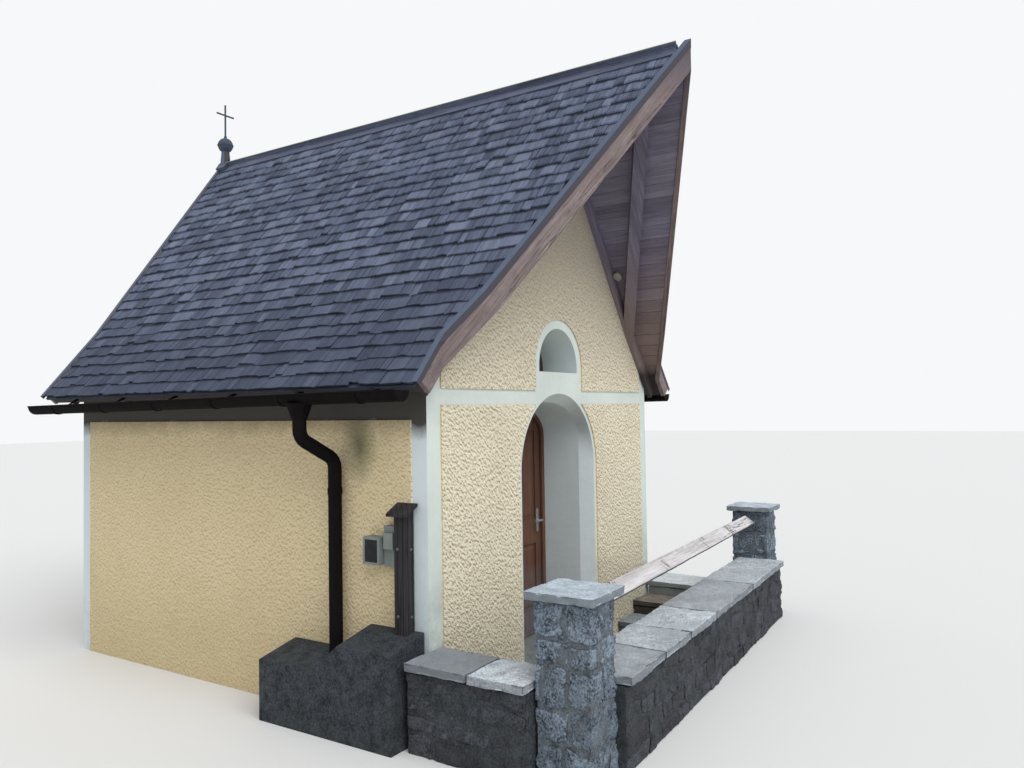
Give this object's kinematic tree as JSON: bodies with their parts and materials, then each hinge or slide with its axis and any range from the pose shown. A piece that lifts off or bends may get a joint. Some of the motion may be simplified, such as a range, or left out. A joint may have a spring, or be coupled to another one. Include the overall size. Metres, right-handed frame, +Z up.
{
  "type": "small roadside chapel",
  "caption": "Small steep-roofed chapel with a pointed leaning front verge, an arched hinged door, a half-round window and a sunken entrance behind a low stone parapet.",
  "frame": {"origin": "middle of the chapel's plan, on the underside of the floor slab at the lowest ground level", "axes": "+X to the right along the front, +Y from the front to the rear, +Z up"},
  "size_m": [4.912, 5.6257, 5.5247],
  "materials": {
    "stone_floor": "rough stone",
    "smooth_plaster": "limewashed, dull",
    "roughcast": "coarse roughcast, dull",
    "rafter_wood": "stained, dull",
    "soffit_wood": "stained, dull",
    "shingle_wood": "weathered grey-brown",
    "barge_wood": "weathered brown",
    "ridge_wood": "weathered olive brown",
    "sheet_metal": "dull blue-grey",
    "door_wood": "stained, worn at the base",
    "frame_paint": "painted, dull",
    "window_glass": "plain",
    "gutter_metal": "dark brown, dull",
    "lamp_shade": "pale, dull",
    "cabinet_plastic": "weathered grey",
    "cover_wood": "weathered dark brown",
    "cement": "rough cement",
    "wall_stone": "rough stone and mortar",
    "granite": "split granite",
    "rail_wood": "silver-grey weathered",
    "handle_metal": "worn"
  },
  "bodies": {
    "chapel": {"floor_slab": "stone_floor", "front_wall_left": "smooth_plaster", "front_wall_right": "smooth_plaster", "front_arch": "smooth_plaster", "front_gable": "smooth_plaster", "lunette_surround": "smooth_plaster", "rear_wall": "smooth_plaster", "side_wall_left": "smooth_plaster", "side_wall_right": "smooth_plaster", "rafters_left": "rafter_wood", "rafters_right": "rafter_wood", "roof_boards_left": "soffit_wood", "roof_boards_right": "soffit_wood", "shingles_left": "shingle_wood", "shingles_right": "shingle_wood", "barge_boards_left": "barge_wood", "barge_boards_right": "barge_wood", "rear_barge_boards": "barge_wood", "verge_flashings": "sheet_metal", "ridge_boards": "ridge_wood", "roughcast_front": "roughcast", "roughcast_sides": "roughcast", "door_frame": "door_wood", "lunette_frame": "frame_paint", "lunette_glass": "window_glass", "gutter_left": "gutter_metal", "gutter_right": "gutter_metal", "downpipe_left": "gutter_metal", "downpipe_right": "gutter_metal", "finial_sleeve": "sheet_metal", "finial_cross": "sheet_metal", "soffit_lamp": "lamp_shade", "meter_cabinet": "cabinet_plastic", "cable_cover": "cover_wood", "wall_foot_ledge": "cement", "parapet_walls": "wall_stone", "pillars": "granite", "pillar_caps": "granite", "coping_slabs": "granite", "entrance_rail": "rail_wood", "step_low": "granite", "step_middle": "granite", "step_top": "granite"},
    "door": {"door_leaf": "door_wood", "door_handle": "handle_metal"}
  },
  "joints": [
    {"name": "door_hinge", "type": "hinge", "parent": "chapel", "child": "door", "pos_m": [-0.5227, -1.4117, 0], "axis": [0, 0, 1], "range_deg": [0, 95]}
  ]
}
